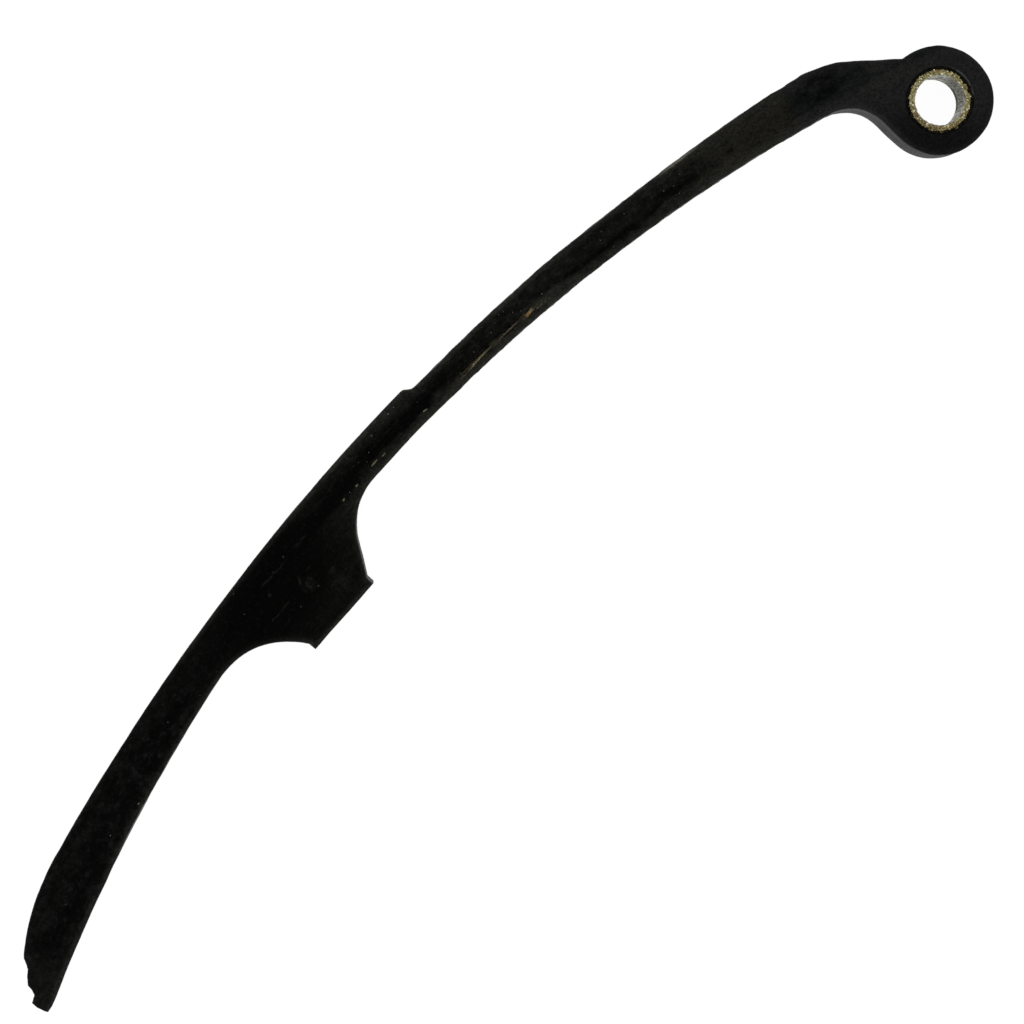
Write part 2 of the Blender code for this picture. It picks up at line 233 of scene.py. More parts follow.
def cut_into_cells(piece, size):
    """Bisect a piece by planes a cell apart along X, Y and Z."""
    corners = np.array([vertex.co for vertex in piece.data.vertices])
    low = corners.min(axis=0)
    high = corners.max(axis=0)
    only(piece)
    bpy.ops.object.mode_set(mode="EDIT")
    for axis in range(3):
        count = max(2, round((high[axis] - low[axis]) / size))
        normal = [0.0, 0.0, 0.0]
        normal[axis] = 1.0
        for step in range(1, count):
            spot = [0.0, 0.0, 0.0]
            spot[axis] = low[axis] + (high[axis] - low[axis]) * step / count
            bpy.ops.mesh.select_all(action="SELECT")
            bpy.ops.mesh.bisect(plane_co=spot, plane_no=normal)
    bpy.ops.mesh.select_all(action="SELECT")
    bpy.ops.mesh.quads_convert_to_tris()
    bpy.ops.object.mode_set(mode="OBJECT")


rubber = merged_copy("guide_body", "guide_rubber")
cut_into_cells(rubber, CELL)
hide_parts("guide_body")
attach(rubber, "root")
print("rubber triangles:", len(rubber.data.polygons))

# %% [markdown]
# The torn end, the worn slits and the lip of the eye need finer cells, so the faces there
# are subdivided once more. A person would box-select them. In code we pick the parts of
# the mesh that pass a test.

# %% Finer cells where the rubber is torn or worn through
FINE_SPOTS = [
    (along_arm(-114.0, 2.5), 8.5 * MM),
    (along_arm(9.5, 1.3), 3.9 * MM),
    (along_arm(16.8, 1.3), 2.6 * MM),
    (along_arm(20.7, 1.3), 1.8 * MM),
]
LIP_REACH = HOLE_RADIUS + 0.9 * MM


def pick(piece, kind, wanted):
    """Go into edit mode with the faces or edges selected that pass a test."""
    only(piece)
    bpy.ops.object.mode_set(mode="EDIT")
    bpy.ops.mesh.select_mode(type=kind)
    bpy.ops.mesh.select_all(action="DESELECT")
    bpy.ops.object.mode_set(mode="OBJECT")
    for part in piece.data.polygons if kind == "FACE" else piece.data.edges:
        part.select = wanted(part)
    bpy.ops.object.mode_set(mode="EDIT")


def needs_fine_cells(face):
    by_lip = (face.center - PIVOT).xy.length < LIP_REACH
    return by_lip or any((face.center - spot).xy.length < reach for spot, reach in FINE_SPOTS)


pick(rubber, "FACE", needs_fine_cells)
bpy.ops.mesh.subdivide(number_cuts=1)
bpy.ops.mesh.select_all(action="SELECT")
bpy.ops.mesh.quads_convert_to_tris()
bpy.ops.object.mode_set(mode="OBJECT")
print("rubber triangles:", len(rubber.data.polygons))

# %% [markdown]
# Old moulded rubber is never quite flat, and oil swells it a little. Displace modifiers
# move the skin by cloud patterns: the walls swell outwards with a slow unevenness, the
# flat sides only sink, and the torn end breaks up coarsely. Vertex groups say where each
# one works. They fade out at the guide's outer box, so that the guide keeps its size.

# %% Helpers for relief
def displace(piece, name, size, depth, middle=1.0, group="", kind="CLOUDS"):
    """Move the skin by a pattern. A middle of 1 only pushes in, and 0 only out."""
    texture = bpy.data.textures.new(name, kind)
    texture.noise_scale = size * MM
    only(piece)
    push = piece.modifiers.new(name, "DISPLACE")
    push.texture = texture
    push.texture_coords = "LOCAL"
    push.mid_level = middle
    push.strength = depth * MM
    push.vertex_group = group
    bpy.ops.object.modifier_apply(modifier=push.name)


def weigh(piece, name, weight_of):
    """A vertex group whose weights a function gives for each vertex."""
    group = piece.vertex_groups.new(name=name)
    for vertex in piece.data.vertices:
        weight = weight_of(vertex.co, vertex.normal)
        if weight > 0.0:
            group.add([vertex.index], min(weight, 1.0), "REPLACE")
    return name


def ramp(value, start, end):
    """0 at the start, 1 at the end, straight between."""
    return min(1.0, max(0.0, (value - start) / (end - start)))


def arm_place(co):
    """Run along the back edge from its crown and rise above it, in mm."""
    offset = co - BACK_CENTRE
    run = math.atan2(offset.x, offset.y) * BACK_RADIUS / MM
    return run, offset.xy.length / MM - BACK_RADIUS / MM


# %% Relief of the rubber
SWELL = (6.0, 0.36)
DIMPLES = (3.0, 0.10)
GRAIN = (0.8, 0.06)
NIBBLE = (1.9, 0.34)
TEAR = (0.8, 0.5)
LIP = (1.1, 0.36)
FRAY = (0.5, 0.35)
BOX_MARGIN = 0.5 * MM
RIM_MARGIN = 0.4 * MM


def inside_box(co):
    """0 on the sides of the guide's box, 1 from a margin inside them."""
    sides = (co.x - body_low.x, body_high.x - co.x, co.y - body_low.y, body_high.y - co.y)
    return ramp(min(sides), 0.0, BOX_MARGIN)


def wall(co, normal):
    """The walls alone: neither the flat sides nor the rounded rims."""
    from_side = min(co.z, TOP - co.z)
    return ramp(abs(normal.z), 0.7, 0.4) * ramp(from_side, RIM_MARGIN / 2, RIM_MARGIN) * inside_box(co)


def swollen(co, normal):
    """Oil has swollen the chain side of the eye most."""
    around = co - PIVOT
    by_eye = ramp(around.xy.length, 16.0 * MM, 10.0 * MM) * ramp(around.y, 0.0, 6.0 * MM)
    return wall(co, normal) * (0.55 + 0.45 * by_eye)


def outward(co, normal):
    """0 on the inner faces of the leaf's slot, which would come through the sides."""
    return 1.0 if math.copysign(normal.z, (co.z - TOP / 2) * normal.z) > -0.15 else 0.0


def flat_side(co, normal):
    return ramp(abs(normal.z), 0.5, 0.8) * outward(co, normal)


def pivot_walls(co, normal):
    """The walls of the half by the pivot, where the edges are the most uneven."""
    return wall(co, normal) * ramp(arm_place(co)[0], -8.0, 6.0) * ramp((co - PIVOT).xy.length, 11.0 * MM, 20.0 * MM)


def torn(co, normal):
    run, rise = arm_place(co)
    return ramp(run, -106.0, -110.0) * ramp(rise, 0.3, 1.2) * wall(co, normal)


def lip_side(co, normal):
    """The chain side of the eye's hole, where the lip has swollen towards the bush."""
    around = co - PIVOT
    bearing = math.degrees(math.atan2(around.y, around.x))
    near = ramp(around.xy.length, 5.7 * MM, 5.45 * MM) * ramp(co.z, TOP - 1.2 * MM, TOP - 0.6 * MM)
    return near * ramp(abs(bearing + 8.0), 42.0, 26.0) * ramp(abs(normal.z), 0.8, 0.4)


def frayed(co, normal):
    """Near the worn slits, but not out at the back edge."""
    near = max(ramp((co - spot).xy.length, reach, reach * 0.8) for spot, reach in FINE_SPOTS[1:])
    run, rise = arm_place(co)
    top = ramp(co.z, TOP - 1.0 * MM, TOP - 0.5 * MM) * outward(co, normal)
    return near * ramp(abs(rise - 1.4), 0.9, 0.4) * top


displace(rubber, "swell", *SWELL, middle=0.2, group=weigh(rubber, "walls", swollen))
displace(rubber, "nibble", *NIBBLE, middle=0.5, group=weigh(rubber, "pivot_walls", pivot_walls))
displace(rubber, "tear", *TEAR, middle=0.6, group=weigh(rubber, "torn", torn))
displace(rubber, "lip", *LIP, middle=0.0, group=weigh(rubber, "lip_side", lip_side))
displace(rubber, "fray", *FRAY, group=weigh(rubber, "frayed", frayed))
displace(rubber, "dimples", *DIMPLES, group=weigh(rubber, "sides", flat_side))
displace(rubber, "grain", *GRAIN, group=weigh(rubber, "outward", outward))
bpy.ops.object.shade_smooth_by_angle(angle=math.radians(35.0))
print("rubber height, mm:", round(max(v.co.z for v in rubber.data.vertices) / MM, 3))

# %% [markdown]
# The chain has worn a step into its face, and has rounded that step. We select what lies
# near its two corners and smooth the vertices a few times, as a finger would rub clay.

# %% Round the worn step
STEP_SPOTS = (along_arm(-1.96, 6.3), along_arm(-0.88, 5.15))
STEP_REACH = 1.3 * MM


def by_step(face):
    return any((face.center - spot).xy.length < STEP_REACH for spot in STEP_SPOTS)


for spot in STEP_SPOTS:
    found = min((vertex.co - spot).xy.length for vertex in rubber.data.vertices)
    print("nearest vertex to a corner of the step, mm:", round(found / MM, 2))
pick(rubber, "FACE", by_step)
bpy.ops.mesh.vertices_smooth(factor=0.5, repeat=2)
bpy.ops.object.mode_set(mode="OBJECT")

# %% [markdown]
# The shader paints a highlight along the rims, and a sheen on one worn facet, so it has to
# know how near a rim is. We measure that once for each vertex, as its distance seen from
# above to the nearest wall, and keep it on the mesh as an attribute. An attribute travels
# with the mesh, and a shader reads it like any other value.

# %% Measure how near each spot is to a rim
def outer_wall(vertex):
    """A wall that shows, and not one of the slot in which the leaf lies."""
    return abs(vertex.normal.z) < 0.35 and not 0.4 < arm_place(vertex.co)[1] < 2.6


def keep_rim_distance(piece):
    mesh = piece.data
    walls = [v.co.xy for v in mesh.vertices if outer_wall(v)]
    tree = kdtree.KDTree(len(walls))
    for index, spot in enumerate(walls):
        tree.insert((spot.x, spot.y, 0.0), index)
    tree.balance()
    layer = mesh.attributes.new("rim_distance", "FLOAT", "POINT")
    for vertex in mesh.vertices:
        found = tree.find((vertex.co.x, vertex.co.y, 0.0))
        layer.data[vertex.index].value = found[2] / MM
    return len(walls)


print("wall vertices:", keep_rim_distance(rubber))

# %% [markdown]
# The rubber's finish is built in coordinates that follow the arm, in mm: run, rise and
# height. Colours are written as a screen shows them, from 0 to 255, and turned into the
# linear values that Blender works in.

# %% Colour and pattern helpers
def paint(red, green, blue):
    """A colour as a screen shows it, from 0 to 255, as linear RGBA."""
    def linear(level):
        share = level / 255
        return share / 12.92 if share <= 0.04045 else ((share + 0.055) / 1.055) ** 2.4
    return (linear(red), linear(green), linear(blue), 1.0)


def arm_coordinates(tree):
    """Run, rise and height in mm, as one vector."""
    spot = put(tree, "TexCoord").outputs["Object"]
    offset = vector_maths(tree, "SUBTRACT", spot, tuple(BACK_CENTRE))
    parts = put(tree, "SeparateXYZ", {0: vector_maths(tree, "MULTIPLY", offset, (1000.0,) * 3)})
    across, up, height = parts.outputs
    run = maths(tree, "MULTIPLY", maths(tree, "ARCTAN2", across, up), BACK_RADIUS / MM)
    square = maths(tree, "ADD", times(tree, across, across), times(tree, up, up))
    rise = maths(tree, "SUBTRACT", maths(tree, "SQRT", square), BACK_RADIUS / MM)
    return put(tree, "CombineXYZ", {0: run, 1: rise, 2: height}).outputs[0]


def eye_coordinates(tree):
    """Distance from the pivot's axis and height, in mm, and the angle from X in degrees."""
    spot = put(tree, "TexCoord").outputs["Object"]
    offset = vector_maths(tree, "SUBTRACT", spot, tuple(PIVOT))
    parts = put(tree, "SeparateXYZ", {0: vector_maths(tree, "MULTIPLY", offset, (1000.0,) * 3)})
    across, up, height = parts.outputs
    square = maths(tree, "ADD", times(tree, across, across), times(tree, up, up))
    angle = maths(tree, "MULTIPLY", maths(tree, "ARCTAN2", up, across), math.degrees(1.0))
    return maths(tree, "SQRT", square), angle, height


def noise(tree, place, stretch, detail=4.0, roughness=0.6, shift=0.0):
    """Noise from 0 to 1, with so many waves for each mm along each axis."""
    start = (shift, shift * 0.7, shift * 0.3)
    moved = put(tree, "Mapping", {"Vector": place, "Location": start, "Scale": stretch})
    made = put(tree, "TexNoise", {"Vector": moved.outputs[0], "Scale": 1.0,
                                  "Detail": detail, "Roughness": roughness})
    return made.outputs["Fac"]


def band(tree, value, start, end):
    """0 at the start, 1 at the end, smooth between. It falls where the end is lower."""
    return put(tree, "MapRange", {"Value": value, "From Min": start, "From Max": end},
               interpolation_type="SMOOTHSTEP").outputs["Result"]


def patch(tree, place, centre, reach, start=1.0, end=0.3):
    """1 within an ellipse round a centre, falling to 0 at its reach."""
    offset = vector_maths(tree, "SUBTRACT", place, centre)
    scaled = vector_maths(tree, "DIVIDE", offset, reach)
    return band(tree, vector_maths(tree, "LENGTH", scaled, output="Value"), start, end)


def mix(tree, share, first, second):
    """Blend two colours."""
    made = put(tree, "Mix", {"Factor": share}, data_type="RGBA")
    for slot, value in ((made.inputs[6], first), (made.inputs[7], second)):
        if isinstance(value, bpy.types.NodeSocket):
            tree.links.new(value, slot)
        else:
            slot.default_value = value
    return made.outputs[2]


def times(tree, *values):
    """The product of several numbers or sockets."""
    product = values[0]
    for value in values[1:]:
        product = maths(tree, "MULTIPLY", product, value)
    return product


# %% [markdown]
# On the real guide the tones lie in long bands along the arm. A paler, mottled band over
# the leaf by the back edge and a paler band by the chain face are painted highlights along
# the rounded edges, and the dark stripe between them is painted shade on the flat middle.
# The eye and neck look a little blue, and an olive dust starts where the neck begins.
# Each band is a mask made from run and rise, broken up by noise, and each one mixes its
# own tone over those below it.

# %% Rubber finish: bands and patches of tone
DEEP = paint(1, 1, 1)
BODY = paint(8, 8, 8)
PALE = paint(48, 48, 43)
DUST = paint(64, 60, 48)
OLIVE = paint(37, 36, 30)
BLUISH = paint(28, 30, 31)
SPECKS = paint(70, 70, 66)
SLATE = paint(31, 31, 31)
SCRATCHED = paint(62, 61, 57)

material, tree, shader = new_material("worn_black_rubber")
place = arm_coordinates(tree)
run, rise, height = put(tree, "SeparateXYZ", {0: place}).outputs
rim = put(tree, "Attribute", attribute_name="rim_distance").outputs["Fac"]

mottle = noise(tree, place, (0.22, 0.42, 0.4), detail=7.0, roughness=0.68)
blotch = noise(tree, place, (0.7, 0.95, 0.9), detail=6.0, roughness=0.68, shift=11.0)
grain = noise(tree, place, (2.6, 3.2, 3.0), detail=5.0, roughness=0.75, shift=5.0)
speckle = noise(tree, place, (1.5, 1.8, 1.6), detail=6.0, roughness=0.8, shift=23.0)
streak = noise(tree, place, (0.05, 2.2, 2.2), detail=7.0, roughness=0.72, shift=31.0)
wave = noise(tree, place, (0.12, 0.5, 0.4), detail=5.0, roughness=0.62, shift=41.0)
broken = noise(tree, place, (0.22, 0.45, 0.4), detail=6.0, roughness=0.66, shift=53.0)
wavy = maths(tree, "ADD", rise, times(tree, maths(tree, "SUBTRACT", wave, 0.5), 4.0))

colour = mix(tree, band(tree, mottle, 0.36, 0.64), DEEP, BODY)
pivot_half = band(tree, run, -34.0, 4.0)
more = maths(tree, "ADD", times(tree, pivot_half, 0.88), 0.12)
rough_up = band(tree, blotch, 0.12, 0.6)
colour = mix(tree, times(tree, band(tree, blotch, 0.46, 0.72), more, 0.34), colour, PALE)

# Painted highlight along the rounded back edge: a paler band over the leaf, weaker in two patches.
skin = times(tree, band(tree, wavy, 2.3, 0.9), rough_up, more)
weaker_skin_highlight = patch(tree, place, (42.0, 1.0, 12.0), (15.0, 2.2, 20.0), 1.0, 0.5)
skin = times(tree, skin, maths(tree, "SUBTRACT", 1.0, times(tree, weaker_skin_highlight, 0.45)))
fainter_skin_highlight = patch(tree, place, (-7.0, 0.4, 12.0), (12.0, 1.5, 20.0), 1.0, 0.5)
skin = times(tree, skin, maths(tree, "SUBTRACT", 1.0, times(tree, fainter_skin_highlight, 0.35)))
colour = mix(tree, times(tree, skin, 0.66), colour, PALE)
# Painted highlight along the rounded edge by the chain face.
chain_edge_highlight = times(tree, band(tree, wavy, 3.4, 5.9), rough_up, more)
colour = mix(tree, times(tree, chain_edge_highlight, 0.5), colour, PALE)
# Painted highlight along the rims: where a wall is near, by the back edge and all along the end half, weaker by the
# crown.
back_edge = band(tree, rise, 3.5, 2.5)
rim_highlight_shows = maths(tree, "ADD", back_edge, band(tree, run, -62.0, -46.0), clamp=True)
rim_highlight_shows = times(tree, rim_highlight_shows, maths(tree, "SUBTRACT", 1.0, times(tree, back_edge, band(tree, run, -8.0, 8.0), 0.6)))
edge = times(tree, band(tree, rim, 0.9, 0.1), rough_up, rim_highlight_shows, band(tree, speckle, 0.3, 0.55))
colour = mix(tree, times(tree, edge, 0.55), colour, PALE)
# Painted shade: a dark stripe on the flat middle between the two highlighted edges, fainter in a patch.
shade_stripe = times(tree, band(tree, wavy, 1.7, 2.3), band(tree, wavy, 3.9, 2.7), band(tree, broken, 0.62, 0.47),
               band(tree, run, 58.0, 50.0), band(tree, run, -60.0, -30.0))
faded = patch(tree, place, (27.0, 3.0, 12.0), (26.0, 12.0, 40.0), 1.0, 0.6)
shade_stripe = times(tree, shade_stripe, maths(tree, "SUBTRACT", 0.8, times(tree, faded, 0.5)))
colour = mix(tree, shade_stripe, colour, DEEP)
veil = times(tree, faded, band(tree, rise, 1.9, 2.6), band(tree, rise, 4.6, 3.8), rough_up)
colour = mix(tree, times(tree, veil, 0.15), colour, PALE)
pool = patch(tree, place, (-39.0, 0.2, 6.0), (20.0, 10.5, 20.0), 1.0, 0.4)
colour = mix(tree, times(tree, pool, 0.92), colour, DEEP)

dim = patch(tree, place, (38.0, 6.2, 12.0), (14.0, 2.6, 20.0), 1.0, 0.5)
colour = mix(tree, times(tree, dim, 0.38), colour, DEEP)
end_half = band(tree, run, -48.0, -66.0)
crumbs = noise(tree, place, (0.6, 0.7, 0.7), detail=7.0, roughness=0.72, shift=61.0)
colour = mix(tree, times(tree, band(tree, crumbs, 0.52, 0.42), end_half, 0.65), colour, DEEP)
colour = mix(tree, times(tree, band(tree, crumbs, 0.52, 0.66), end_half, 0.5), colour, SLATE)
tip = times(tree, band(tree, run, -105.0, -109.0), rough_up)
colour = mix(tree, times(tree, tip, 0.24), colour, paint(40, 39, 37))

low_wall = times(tree, band(tree, height, 11.6, 11.2), band(tree, run, -76.0, -92.0), band(tree, rise, 0.8, 0.3))
colour = mix(tree, times(tree, low_wall, 0.75), colour, DEEP)
ragged = maths(tree, "ADD", run, times(tree, blotch, 5.0))
dust = times(tree, band(tree, ragged, 53.5, 63.0), band(tree, ragged, 75.2, 74.4))
dust = times(tree, dust, band(tree, blotch, 0.25, 0.5), maths(tree, "ADD", times(tree, band(tree, broken, 0.4, 0.52), 0.5), 0.5))
colour = mix(tree, times(tree, dust, 0.68), colour, OLIVE)
neck = band(tree, ragged, 74.4, 75.2)
colour = mix(tree, times(tree, neck, 0.6), colour, BLUISH)
clouds = band(tree, mottle, 0.62, 0.4)
shade = patch(tree, place, (77.5, 4.4, 12.0), (6.5, 4.2, 20.0), 1.0, 0.3)
colour = mix(tree, times(tree, shade, clouds, 0.85), colour, DEEP)
paler = patch(tree, place, (87.0, 2.5, 12.0), (7.5, 5.5, 20.0), 1.0, 0.2)
colour = mix(tree, times(tree, paler, band(tree, mottle, 0.42, 0.6), 0.3), colour, PALE)

from_axis, angle, level = eye_coordinates(tree)
hollow_side = maths(tree, "COSINE", times(tree, maths(tree, "ADD", angle, 142.0), math.radians(1.0)))
shadow = times(tree, band(tree, hollow_side, -0.1, 0.95), band(tree, from_axis, 14.0, 9.0))
colour = mix(tree, times(tree, shadow, 0.62), colour, DEEP)
print("nodes for the tones:", len(tree.nodes))

# %% [markdown]
# Over the bands lie small marks: hair lines that the chain and handling scratched along
# the arm, grains of grit and a fine pitting. Light and shade are painted on too: a thin
# highlight round the lip of the eye, shade on the wall of its hole, and a sheen on a worn
# facet of the chain face's rim.

# %% Rubber finish: marks
lines = times(tree, band(tree, streak, 0.6, 0.68), band(tree, blotch, 0.4, 0.6), band(tree, run, -30.0, -14.0))
colour = mix(tree, times(tree, lines, 0.3), colour, DUST)


def scratch(tree, place, start, end, width):
    """1 on a straight line between two places given by run and rise, 0 off it."""
    line = Vector((end[0] - start[0], end[1] - start[1], 0.0))
    ahead = line.normalized()
    offset = vector_maths(tree, "SUBTRACT", place, (start[0], start[1], 0.0))
    along = vector_maths(tree, "DOT_PRODUCT", offset, tuple(ahead), output="Value")
    across = vector_maths(tree, "DOT_PRODUCT", offset, (-ahead.y, ahead.x, 0.0), output="Value")
    across = maths(tree, "ABSOLUTE", across)
    ends = times(tree, band(tree, along, 0.0, 1.0), band(tree, along, line.length, line.length - 1.0))
    return times(tree, band(tree, across, width, width * 0.3), ends)


SCRATCHES = [
    ((-39.7, 2.9), (-33.8, 2.3), 0.16, 0.21),
    ((-43.1, -1.6), (-37.8, -2.0), 0.15, 0.19),
    ((-32.0, 2.7), (-28.3, 2.5), 0.15, 0.19),
    ((-31.6, 2.4), (-29.4, 2.2), 0.12, 0.15),
    ((-31.3, -4.0), (-29.2, -4.0), 0.20, 0.25),
    ((-31.4, -4.5), (-29.4, -4.5), 0.14, 0.19),
    ((-33.3, -1.1), (-31.5, -1.1), 0.13, 0.19),
    ((-34.1, -0.4), (-35.6, -2.3), 0.24, 0.19),
    ((-34.3, -1.7), (-34.9, -4.2), 0.20, 0.21),
]
waver = noise(tree, place, (0.35, 0.35, 0.3), detail=4.0, roughness=0.6, shift=71.0)
waver = times(tree, maths(tree, "SUBTRACT", waver, 0.5), 1.1)
wavered = vector_maths(tree, "ADD", place, put(tree, "CombineXYZ", {0: 0.0, 1: waver, 2: 0.0}).outputs[0])
for start, end, width, share in SCRATCHES:
    mark = scratch(tree, wavered, start, end, width * 1.25)
    mark = times(tree, mark, band(tree, blotch, 0.35, 0.55), share * 0.85)
    colour = mix(tree, mark, colour, SCRATCHED)
SMUDGES = [
    ((-34.2, -2.8), (2.00, 1.60), 0.13),
    ((-31.0, -6.6), (2.40, 2.20), 0.12),
    ((-39.5, 1.1), (0.45, 0.40), 0.30),
]
for centre, reach, share in SMUDGES:
    mark = patch(tree, place, (*centre, 12.0), (*reach, 20.0), 1.0, 0.2)
    mark = times(tree, mark, band(tree, speckle, 0.38, 0.58), share)
    colour = mix(tree, mark, colour, SCRATCHED)
fleck = put(tree, "TexVoronoi", {"Vector": place, "Scale": 0.45, "Randomness": 1.0})
lot = put(tree, "SeparateXYZ", {0: fleck.outputs["Color"]}).outputs[0]
reach = maths(tree, "ADD", times(tree, lot, 0.08), 0.02)
dots = times(tree, band(tree, fleck.outputs["Distance"], reach, times(tree, reach, 0.4)), band(tree, lot, 0.45, 0.8))
colour = mix(tree, times(tree, dots, 0.55), colour, SPECKS)
rubbed = times(tree, band(tree, rise, 0.8, 1.3), band(tree, rise, 2.1, 1.6),
               band(tree, run, 3.5, 8.0), band(tree, run, 26.0, 22.0), band(tree, blotch, 0.35, 0.55))
colour = mix(tree, times(tree, rubbed, 0.5), colour, DUST)
tail = scratch(tree, place, (5.2, 0.92), (9.4, 1.24), 0.24)
colour = mix(tree, times(tree, tail, band(tree, grain, 0.3, 0.5), 0.7), colour, paint(78, 70, 56))
colour = mix(tree, times(tree, band(tree, speckle, 0.52, 0.7), 0.2), colour, PALE)
colour = mix(tree, times(tree, band(tree, grain, 0.38, 0.68), 0.68), colour, DEEP)
colour = mix(tree, times(tree, band(tree, speckle, 0.48, 0.3), 0.6), colour, DEEP)
# Painted highlight: a thin, broken light line round the lip of the eye's hole, on one side.
wander = noise(tree, place, (0.45, 0.45, 0.4), detail=3.0, shift=17.0)
lip_highlight_radius = maths(tree, "ADD", from_axis, times(tree, wander, 0.4))
lip = times(tree, band(tree, lip_highlight_radius, 5.36, 5.42), band(tree, lip_highlight_radius, 5.68, 5.58))
lip = times(tree, lip, band(tree, angle, -42.0, -30.0), band(tree, angle, 30.0, 14.0), band(tree, speckle, 0.3, 0.5))
colour = mix(tree, times(tree, lip, band(tree, blotch, 0.36, 0.5)), colour, paint(60, 61, 64))
# Painted shade on the wall of the eye's hole, except under the lip highlight.
hole = times(tree, band(tree, from_axis, 5.38, 5.34), maths(tree, "SUBTRACT", 1.0, lip))
colour = mix(tree, times(tree, hole, 0.8), colour, DEEP)
# Painted sheen on a worn facet of the chain face's rim, where its wall catches the light.
sliver_sheen = times(tree, band(tree, rise, 5.5, 5.75), band(tree, rim, 0.4, 0.15), band(tree, run, 48.5, 51.5))
sliver_sheen = times(tree, sliver_sheen, band(tree, run, 57.5, 54.5), band(tree, speckle, 0.3, 0.5), band(tree, height, 10.6, 11.7))
colour = mix(tree, times(tree, sliver_sheen, 0.6), colour, paint(116, 113, 100))
tree.links.new(colour, shader.inputs["Base Color"])

# %% Rubber finish: gloss and fine relief
shader.inputs["Specular IOR Level"].default_value = 0.03
rough = put(tree, "MapRange", {"Value": grain, "To Min": 0.36, "To Max": 0.6}).outputs["Result"]
rough = maths(tree, "MAXIMUM", rough, times(tree, low_wall, 0.95))
tree.links.new(rough, shader.inputs["Roughness"])
relief = maths(tree, "ADD", times(tree, grain, 0.6), times(tree, blotch, 0.4))
bump = put(tree, "Bump", {"Height": relief, "Strength": 0.6, "Distance": 0.00008})
tree.links.new(bump.outputs[0], shader.inputs["Normal"])
rubber.data.materials.append(material)
print("nodes in the rubber finish:", len(tree.nodes))

# %% [markdown]
# The spring leaf is inside the rubber and shows only through three worn slits. Its solid
# stays as it is and gets a finish of drawn spring steel: streaks along its length under a
# brown film of old oil.

# %% Leaf finish
material, tree, shader = new_material("oiled_spring_steel")
place = arm_coordinates(tree)
drawn = noise(tree, place, (0.15, 6.0, 6.0), detail=5.0)
film = noise(tree, place, (0.6, 1.2, 1.2), detail=5.0, shift=7.0)
colour = mix(tree, drawn, paint(84, 77, 56), paint(146, 136, 104))
colour = mix(tree, times(tree, band(tree, film, 0.35, 0.55), 0.85), colour, paint(34, 30, 22))
tree.links.new(colour, shader.inputs["Base Color"])
shader.inputs["Metallic"].default_value = 0.8
rough = put(tree, "MapRange", {"Value": film, "To Min": 0.28, "To Max": 0.55}).outputs["Result"]
tree.links.new(rough, shader.inputs["Roughness"])
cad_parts["spring_leaf"].material_slots[0].material = material
print("leaf finish nodes:", len(tree.nodes))

# %% [markdown]
# Where the skin is worn through, the rubbed edge of the leaf glints in a thin, ragged
# line. Each line is a row of small lumps of metal: balls that are stretched along the
# arm, roughened and sunk into the slit, so that only their backs show. The same lumps,
# smaller and scattered, make the flecks of metal that the chain pressed into the rubber.

# %% Helpers for lumps of metal and grit
def lump(spot, size, turn, rough=0.25):
    """A ball at a spot, stretched to a size in mm and turned about Z, with a rough skin."""
    bpy.ops.mesh.primitive_ico_sphere_add(subdivisions=3, radius=0.5, location=spot)
    ball = bpy.context.object
    ball.scale = Vector(size) * MM
    ball.rotation_euler.z = turn
    bpy.ops.object.transform_apply(location=True, rotation=True, scale=True)
    displace(ball, "rough_lump", min(size) * 0.8, min(size) * rough, middle=0.5)
    return ball


def joined(lumps, name):
    """Join lumps into one piece with its origin at the middle of the guide."""
    bpy.ops.object.select_all(action="DESELECT")
    for ball in lumps:
        ball.select_set(True)
    bpy.context.view_layer.objects.active = lumps[0]
    bpy.ops.object.join()
    piece = bpy.context.object
    piece.name = name
    bpy.ops.object.shade_smooth()
    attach(piece, "root")
    return piece


# %% The rubbed edge of the leaf
SHINE = [
    (6.6, 1.00, 12.8, 1.50, 0.34, 0.05),
    (13.8, 1.42, 18.4, 1.64, 0.28, 0.08),
    (20.0, 1.16, 21.3, 1.72, 0.56, 0.05),
]
SLITS = [
    (6.3, 1.42, 12.7, 1.42, 0.46, 0.02),
    (14.9, 1.42, 18.7, 1.42, 0.34, 0.02),
    (19.9, 1.42, 21.5, 1.42, 0.52, 0.02),
]
chance = random.Random(4)
lumps = []
for run_from, rise_from, run_to, rise_to, width, spread in SHINE + SLITS:
    count = round((run_to - run_from) / 0.42)
    tilt = math.atan2(rise_to - rise_from, run_to - run_from)
    for step in range(count):
        share = (step + 0.5) / count
        taper = 0.35 + 0.65 * math.sin(math.pi * share) if spread > 0.02 else 1.0
        sunk = 0.28 if spread > 0.02 else 0.36
        run_at = run_from + (run_to - run_from) * share
        rise_at = rise_from + (rise_to - rise_from) * share + chance.uniform(-spread, spread)
        size = (chance.uniform(0.55, 0.9), width * taper, 0.5)
        turn = tilt - run_at * MM / BACK_RADIUS + chance.uniform(-0.1, 0.1)
        lumps.append(lump(along_arm(run_at, rise_at, TOP - sunk * MM), size, turn))
leaf_edge = joined(lumps, "rubbed_leaf_edge")
print("lumps in the rubbed edge:", len(lumps))

